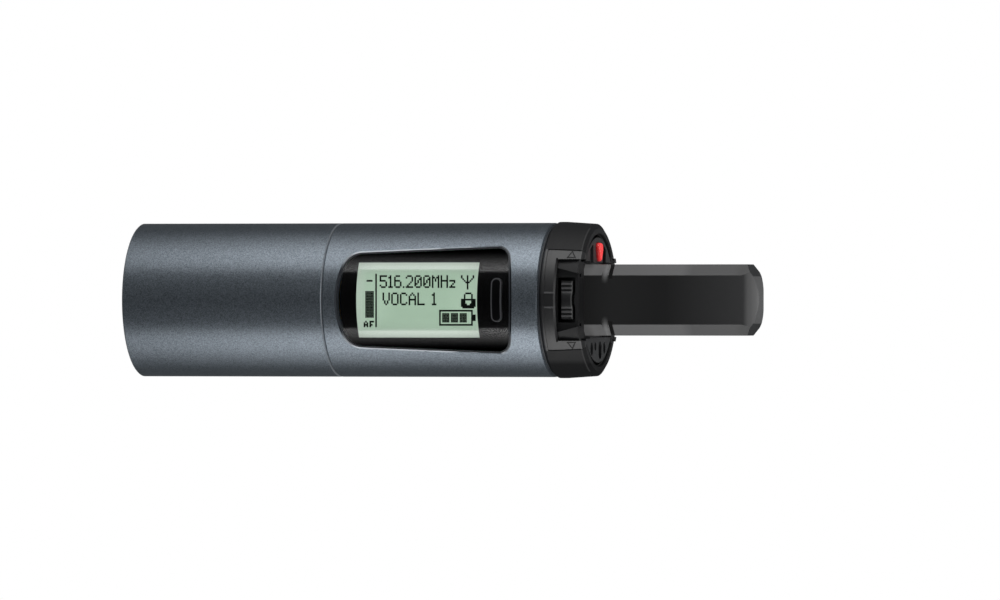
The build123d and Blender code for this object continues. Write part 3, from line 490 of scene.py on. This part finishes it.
def plug_plastic():
    """Blank plug in the window: black, with a thin paler rim."""
    s = Surface("plug_plastic")
    x, _, z = s.axes()
    x0, x1 = span("switch_blank_plug", 0)
    z1 = span("switch_blank_plug", 2)[1]
    half, rim_width = (x1 - x0) / 2, 0.34 * MM
    from_middle = s.size(s.minus(x, (x0 + x1) / 2))
    past_straight = s.most(s.minus(s.size(z), z1 - half), 0.0)
    squares = s.plus(s.math("POWER", from_middle, 2.0), s.math("POWER", past_straight, 2.0))
    rim = s.above(s.math("SQRT", squares), half - rim_width)
    s.put(
        Base_Color=s.blend(rim, (0.0012, 0.0012, 0.0015), (0.060, 0.062, 0.066)),
        Roughness=s.remap(s.noise(0.3 * MM), 0.3, 0.7, 0.28, 0.36),
        Specular_IOR_Level=s.remap(rim, 0.0, 1.0, 0.08, 0.4),
    )
    return s.material


def display_cell():
    """Lit liquid crystal cell: pale green, brighter at its ends, with painted reflection bands and
    painted shade near its long edges.
    """
    s = Surface("display_cell")
    x, _, z = s.axes()
    x0, x1 = span("lcd_panel", 0)
    side = s.over(s.size(s.minus(x, (x0 + x1) / 2)), (x1 - x0) / 2)
    tall = s.size(z)
    half_height = 12 * MM
    # Painted reflection: a bright band near each long edge; a painted shadow of the window's frame
    # dims the cell's outer strips.
    band_z, shade_z = (7.7 * MM, 8.1 * MM), (8.6 * MM, 9.9 * MM)
    outward = s.remap(s.most(side, s.over(tall, half_height)), 0.35, 0.85, 0.0, 1.0)
    glow = s.blend(outward, (0.330, 0.445, 0.340), (0.40, 0.52, 0.41))
    ends = s.remap(side, 0.78, 0.92, 0.0, 0.45)
    bright = s.most(ends, s.remap(tall, *band_z, 0.0, 1.0))
    colour = s.blend(bright, glow, (0.60, 0.68, 0.60))
    shade = s.remap(tall, *shade_z, 1.0, 0.66)
    grain = s.cells(0.4 * MM)
    s.put(
        Base_Color=colour,
        Roughness=0.6,
        Specular_IOR_Level=0.2,
        Emission_Color=colour,
        Emission_Strength=s.times(s.remap(grain, 0.0, 1.0, 0.62, 0.66), shade),
    )
    return s.material


def circuit_board():
    """Green solder mask over copper tracks that run in two directions."""
    s = Surface("circuit_board")
    x, _, z = s.axes()
    half_pitch, track_width = 0.5 * MM, 0.16 * MM
    bends_x = s.times(s.noise(3 * MM), 4 * MM)
    bends_z = s.times(s.noise(5 * MM), 3 * MM)
    wave_x = s.math("PINGPONG", s.plus(x, bends_x), half_pitch)
    wave_z = s.math("PINGPONG", s.plus(z, bends_z), half_pitch)
    zone = s.above(s.noise(7 * MM, 0.0), 0.5)
    wave = s.plus(s.times(wave_x, zone), s.times(wave_z, s.inverse(zone)))
    tracks = s.below(wave, track_width)
    colour = s.blend(tracks, (0.008, 0.075, 0.03), (0.03, 0.17, 0.075))
    near_controls = s.above(x, span("lower_sleeve", 0)[1])
    s.put(
        Base_Color=s.blend(near_controls, colour, (0.002, 0.002, 0.002)),
        Roughness=0.32,
        Coat_Weight=0.4,
        Normal=s.bump(tracks, 0.03 * MM, 0.4),
    )
    return s.material


def cell_wrap():
    """Printed film of a dry cell: dark body and a lighter end band."""
    s = Surface("cell_wrap")
    low, high = span("battery_cells", 0)
    band_from = low + 0.74 * (high - low)
    band = s.above(s.axes()[0], band_from)
    fine = s.noise(0.4 * MM, 2.0)
    s.put(
        Base_Color=s.blend(band, (0.02, 0.045, 0.09), (0.50, 0.27, 0.10)),
        Metallic=s.remap(band, 0.0, 1.0, 0.1, 0.85),
        Roughness=s.remap(fine, 0.3, 0.7, 0.22, 0.32),
        Coat_Weight=0.5,
    )
    return s.material


def turned_metal():
    """Lathe-turned light alloy: fine rings along X."""
    s = Surface("thread_metal")
    rings = s.noise(0.10 * MM, 2.0, 0.6, (1, 0.02, 0.02))
    s.put(
        Base_Color=s.blend(rings, (0.42, 0.42, 0.43), (0.66, 0.66, 0.67)),
        Metallic=1.0,
        Roughness=s.remap(rings, 0.3, 0.7, 0.25, 0.42),
        Normal=s.bump(rings, 0.01 * MM, 0.3),
    )
    return s.material


MATERIALS = {
    "casing_paint": metallic_paint(),
    "thread_metal": turned_metal(),
    "circuit_board": circuit_board(),
    "contact_gold": simple("contact_gold", (0.83, 0.60, 0.24), 1.0, 0.25),
    "steel": simple("steel", (0.20, 0.20, 0.21), 1.0, 0.34),
    "nickel_spring": simple("nickel_spring", (0.66, 0.64, 0.60), 1.0, 0.22),
    "frame_plastic": moulded_plastic("frame_plastic", (0.020, 0.020, 0.022), 0.5),
    "cap_plastic": cap_plastic(),
    "end_plastic": end_plastic(),
    "antenna_plastic": antenna_plastic(),
    "rocker_plastic": rocker_plastic(),
    "window_clear": clear_window(),
    "window_print": printed_black(),
    "gasket_rubber": moulded_plastic("gasket_rubber", (0.010, 0.013, 0.017), 0.45),
    "plug_plastic": plug_plastic(),
    "display_cell": display_cell(),
    "diffuser_white": simple("diffuser_white", (0.80, 0.84, 0.80), 0.0, 0.5),
    "chip_resin": simple("chip_resin", (0.015, 0.015, 0.016), 0.0, 0.5),
    "connector_plastic": simple("connector_plastic", (0.62, 0.58, 0.48), 0.0, 0.45),
    "diode_lens": simple("diode_lens", (0.06, 0.01, 0.03), 0.0, 0.08),
    "led_lens": simple("led_lens", (0.60, 0.05, 0.04), 0.0, 0.15),
    "cell_wrap": cell_wrap(),
    "flex_film": simple("flex_film", (0.52, 0.26, 0.05), 0.0, 0.25),
    "button_red": button_red(),
}

for part in frame["record"]["subparts"]:
    obj = nodes[part["node"]]
    obj.data.materials.clear()
    obj.data.materials.append(MATERIALS[part["material_slot"]])


# ---------------------------------------------------------------- pieces built here
def piece(name, mesh, body, slot, material=None):
    """Object for a finished mesh that rides on a body and wears its slot's material or its own."""
    mesh.materials.append(material or MATERIALS[slot])
    obj = bpy.data.objects.new(name, mesh)
    scene.collection.objects.link(obj)
    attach(obj, body)
    return obj


def finished(bm, name):
    """Mesh made from a working mesh, which is freed."""
    mesh = bpy.data.meshes.new(name)
    bm.to_mesh(mesh)
    bm.free()
    return mesh


def thread_ring():
    """Threaded insert of the microphone module socket, with a true helical groove."""
    x0, x1 = span("capsule_thread_ring", 0)
    outer = span("capsule_thread_ring", 2)[1]
    crest = 17.4 * MM
    pitch, depth, lead_in = 0.8 * MM, 0.5 * MM, 0.7 * MM
    flank_power = 1.4  # shape of the groove's flanks: 1 is a plain V
    around, steps = 180, 8
    count = round((x1 - x0) / pitch * steps)
    bm = bmesh.new()

    def ring(x, radii):
        spots = [(r, 2 * math.pi * i / around) for i, r in enumerate(radii)]
        return [bm.verts.new((x, r * math.cos(a), r * math.sin(a))) for r, a in spots]

    def thread_radius(x, turn):
        phase = ((x - x0) / pitch - turn) % 1.0
        cut = depth * (1 - abs(2 * phase - 1) ** flank_power)
        edge = max(0.0, 1 - min(x - x0, x1 - x) / lead_in)
        return crest + cut * (1 - edge) + depth * edge

    profile = []
    for k in range(count + 1):
        x = x0 + (x1 - x0) * k / count
        profile.append(ring(x, [thread_radius(x, i / around) for i in range(around)]))
    profile += [ring(x, [outer] * around) for x in (x1, x0)]
    for low, high in zip(profile, profile[1:] + profile[:1]):
        for i in range(around):
            j = (i + 1) % around
            bm.faces.new((low[i], high[i], high[j], low[j]))
    bmesh.ops.recalc_face_normals(bm, faces=bm.faces)
    made = piece("thread_ring", finished(bm, "thread_ring"), "casing", "thread_metal")
    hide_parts("capsule_thread_ring")


GLYPHS = {  # dot rows from top to bottom, "#" is a dark dot
    "0": (" ### ", "#   #", "#  ##", "# # #", "# # #", "##  #", "#   #", " ### "),
    "1": (" # ", "## ", " # ", " # ", " # ", " # ", " # ", "###"),
    "2": (" ### ", "#   #", "    #", "    #", "   # ", "  #  ", " #   ", "#####"),
    "5": ("#####", "#    ", "#    ", "#### ", "    #", "    #", "#   #", " ### "),
    "6": (" ### ", "#    ", "#    ", "#### ", "#   #", "#   #", "#   #", " ### "),
    ".": (" ", " ", " ", " ", " ", " ", " ", "#"),
    " ": ("   ",) * 8,
    "M": ("#   #", "## ##", "# # #", "# # #", "#   #", "#   #", "#   #", "#   #"),
    "H": ("#   #", "#   #", "#   #", "#####", "#   #", "#   #", "#   #", "#   #"),
    "z": ("    ", "    ", "    ", "####", "   #", "  # ", " #  ", "####"),
    "V": ("#   #", "#   #", "#   #", "#   #", "#   #", " # # ", " # # ", "  #  "),
    "O": (" ### ", "#   #", "#   #", "#   #", "#   #", "#   #", "#   #", " ### "),
    "C": (" ### ", "#   #", "#    ", "#    ", "#    ", "#    ", "#   #", " ### "),
    "A": ("  #  ", " # # ", "#   #", "#   #", "#####", "#   #", "#   #", "#   #"),
    "L": ("#    ", "#    ", "#    ", "#    ", "#    ", "#    ", "#    ", "#####"),
}
SMALL_A = (" # ", "# #", "###", "# #")
SMALL_F = ("###", "#  ", "## ", "#  ")
AERIAL_ICON = (
    "#   #   #",
    "#   #   #",
    " #  #  # ",
    "  # # #  ",
    "   ###   ",
    "    #    ",
    "    #    ",
    "    #    ",
    "    #    ",
)
LOCK_ICON = (
    "   ####   ",
    "  #    #  ",
    "  #    #  ",
    "  #    #  ",
    "##########",
    "###    ###",
    "###    ###",
    "####  ####",
    "##########",
    " ######## ",
)


METER = ((6, 12), (19, 36))  # columns and rows of the level meter, in dots
RULE = ((13, 14), (8, 42))
MINUS = ((7, 11), (12, 13))
BATTERY = (57, 31, 23, 10)  # column, row, width and height
BATTERY_BARS = 3


def bitmap(rows, column, row):
    """Dots of a small picture whose top left corner is given."""
    return [
        (column + c, row + r)
        for r, line in enumerate(rows)
        for c, mark in enumerate(line)
        if mark == "#"
    ]


def writing(text, column, row):
    dots = []
    for letter in text:
        dots += bitmap(GLYPHS[letter], column, row)
        column += len(GLYPHS[letter][0]) + 1
    return dots


def is_bar(column, row):
    """True for the dots of the level meter and of the battery's bars."""
    (left, right), (top, bottom) = METER
    meter = left <= column < right and top <= row < bottom
    x, y, width, height = BATTERY
    return meter or (x + 1 < column < x + width - 1 and y + 1 < row < y + height - 1)


def filled(columns, rows):
    """Every dot of a block: the last column and row are not part of it."""
    return [(c, r) for c in range(*columns) for r in range(*rows)]


def battery_icon(column, row, width, height):
    """Cell outline with a nub and three full bars."""
    dots = filled((column, column + width), (row, row + height))
    hollow = set(filled((column + 1, column + width - 1), (row + 1, row + height - 1)))
    bar = (width - 4) // BATTERY_BARS
    for i in range(BATTERY_BARS):
        left = column + 2 + i * bar
        hollow -= set(filled((left, left + bar - 1), (row + 2, row + height - 2)))
    nub = filled((column + width, column + width + 2), (row + 3, row + height - 3))
    return [dot for dot in dots if dot not in hollow] + nub


def display_content():
    """Dark dots on the display: frequency, channel name, level meter and status icons."""
    dots = writing("516.200MHz", 16, 9) + writing("VOCAL 1", 18, 20)
    dots += filled(*RULE) + filled(*MINUS) + filled(*METER)
    dots += bitmap(SMALL_A, 5, 38) + bitmap(SMALL_F, 9, 38)
    dots += bitmap(AERIAL_ICON, 72, 9) + bitmap(LOCK_ICON, 72, 20)
    return dots + battery_icon(*BATTERY)


def display_dots():
    """Each dark dot is a thin plate just proud of the display's front glass."""
    pitch_x, pitch_z = 0.39 * MM, 0.407 * MM
    overlap, spacing = 0.05 * MM, 0.02 * MM  # strokes run together, bars show their dots
    thick, gap = 0.02 * MM, 0.004 * MM
    front = span("lcd_panel", 1)[0] - gap
    margin, top = 1.33 * MM, 9.85 * MM
    left = span("lcd_panel", 0)[0] + margin
    bm = bmesh.new()
    for column, row in sorted(set(display_content())):
        middle = (left + column * pitch_x, front - thick / 2, top - row * pitch_z)
        grow = -spacing if is_bar(column, row) else overlap
        size = (pitch_x + grow, thick, pitch_z + grow, 1)
        place = Matrix.Translation(middle) @ Matrix.Diagonal(size)
        bmesh.ops.create_cube(bm, size=1.0, matrix=place)
    piece("display_dots", finished(bm, "display_dots"), "chassis", "display_cell", dot_ink())


def dot_ink():
    """Switched liquid crystal: dark green, slightly uneven."""
    s = Surface("display_ink")
    uneven = s.noise(0.6 * MM, 2.0)
    colour = s.blend(uneven, (0.001, 0.004, 0.002), (0.004, 0.011, 0.005))
    s.put(Base_Color=colour, Roughness=0.6, Specular_IOR_Level=0.1)
    return s.material


thread_ring()
display_dots()


# ---------------------------------------------------------------- stage
MIDDLE = (CAD_BOX[0] + CAD_BOX[1]) / 2
AIM_X = 0.0966  # the camera's aim along the barrel
FRONT_STRIP = (-0.115, 0.55)  # ends of the soft boxes along X
SOCKET_STRIP = (-1.1, -0.30)


def floor():
    """Plain pale floor with a soft contact shade that fades out when it is seen edge-on."""
    s = Surface("floor_pale")
    s.tree.nodes.remove(s.shader)
    reach, darkest, gap, half = 0.05, 0.84, 0.2 * MM, 6.0
    openness = s.add("ShaderNodeAmbientOcclusion", {"Distance": reach}, samples=6).outputs["AO"]
    shade = s.remap(openness, 0.35, 0.97, darkest, 1.0)
    facing = s.add("ShaderNodeLayerWeight", {"Blend": 0.5}).outputs["Facing"]
    edge_on = s.remap(facing, 0.80, 0.97, 0.0, 1.0)
    shade = s.plus(shade, s.times(edge_on, s.inverse(shade)))
    glow = s.add("ShaderNodeEmission", {"Color": (1, 1, 1), "Strength": shade})
    s.tree.links.new(glow.outputs[0], s.output.inputs["Surface"])
    z = CAD_BOX[0].z - gap
    corners = [(-half, -half, z), (half, -half, z), (half, half, z), (-half, half, z)]
    mesh = bpy.data.meshes.new("floor")
    mesh.from_pydata(corners, [], [(0, 1, 2, 3)])
    mesh.materials.append(s.material)
    obj = bpy.data.objects.new("floor", mesh)
    scene.collection.objects.link(obj)
    obj.visible_glossy = False
    obj.visible_diffuse = False
    obj.visible_shadow = False


def area_light(name, width, height, radiance):
    light = bpy.data.lights.new(name, "AREA")
    light.shape = "RECTANGLE"
    light.size = width
    light.size_y = height
    light.energy = radiance * math.pi * width * height
    obj = bpy.data.objects.new(name, light)
    scene.collection.objects.link(obj)
    return obj


def strip_light(name, inner, outer, side, radiance, along):
    """Long soft box whose edges stand at two angles from the display's facing direction."""
    radius = 0.5
    edges = [math.radians(inner), math.radians(outer)]
    low, high = (Vector((0, -math.cos(a), side * math.sin(a))) * radius for a in edges)
    x0, x1 = along
    obj = area_light(name, x1 - x0, (high - low).length, radiance)
    centre = (low + high) / 2
    back = centre.normalized()
    x_axis = Vector((1, 0, 0))
    turn = Matrix((x_axis, back.cross(x_axis), back)).transposed()
    place = Vector(((x0 + x1) / 2, MIDDLE.y + centre.y, MIDDLE.z + centre.z))
    obj.matrix_world = Matrix.Translation(place) @ turn.to_4x4()


def look_back(obj, aim, degrees, distance):
    """Stands an object level with its aim, turned from the display's side, and faces it there."""
    turn = math.radians(degrees)
    back = Vector((math.sin(turn), -math.cos(turn), 0))
    obj.location = aim + back * distance
    obj.rotation_mode = "QUATERNION"
    obj.rotation_quaternion = (-back).to_track_quat("-Z", "Y")


def end_light():
    """Soft box beyond the antenna's tip: it catches the edges that face along the barrel."""
    width, height, radiance = 1.4, 0.5, 1.5
    look_back(area_light("end_softbox", width, height, radiance), MIDDLE, degrees=105, distance=0.9)


def world():
    """White to the camera, but only a faint blue-grey fill light on the part."""
    background = bpy.data.worlds.new("studio")
    scene.world = background
    background.use_nodes = True
    tree = background.node_tree
    shown = tree.nodes["Background"]
    shown.inputs["Color"].default_value = (1, 1, 1, 1)
    shown.inputs["Strength"].default_value = 1.0
    dim = tree.nodes.new("ShaderNodeBackground")
    dim.inputs["Color"].default_value = (0.9, 0.95, 1, 1)
    dim.inputs["Strength"].default_value = 0.10
    path = tree.nodes.new("ShaderNodeLightPath")
    mix = tree.nodes.new("ShaderNodeMixShader")
    tree.links.new(path.outputs["Is Camera Ray"], mix.inputs[0])
    tree.links.new(dim.outputs[0], mix.inputs[1])
    tree.links.new(shown.outputs[0], mix.inputs[2])
    tree.links.new(mix.outputs[0], tree.nodes["World Output"].inputs["Surface"])


def camera():
    """Long lens, level with the barrel, turned a little towards the antenna."""
    data = bpy.data.cameras.new("camera")
    data.lens = 360
    data.sensor_width = 36
    data.clip_end = 20
    obj = bpy.data.objects.new("camera", data)
    scene.collection.objects.link(obj)
    look_back(obj, Vector((AIM_X, 0, 0)), degrees=15, distance=2.597)
    scene.camera = obj


floor()
world()
camera()
end_light()
SOFTBOXES = (  # edge angles and radiance
    (8, 40, 0.16),
    (46, 82, 2.4),
    (82, 97, 1.35),
    (97, 112, 0.55),
)
for label, side in (("upper", 1), ("lower", -1)):
    for inner, outer, radiance in SOFTBOXES:
        strip_light(f"{label}_softbox_{inner}", inner, outer, side, radiance, FRONT_STRIP)
strip_light("socket_softbox", inner=40, outer=110, side=1, radiance=1.5, along=SOCKET_STRIP)
scene.view_settings.view_transform = "Standard"
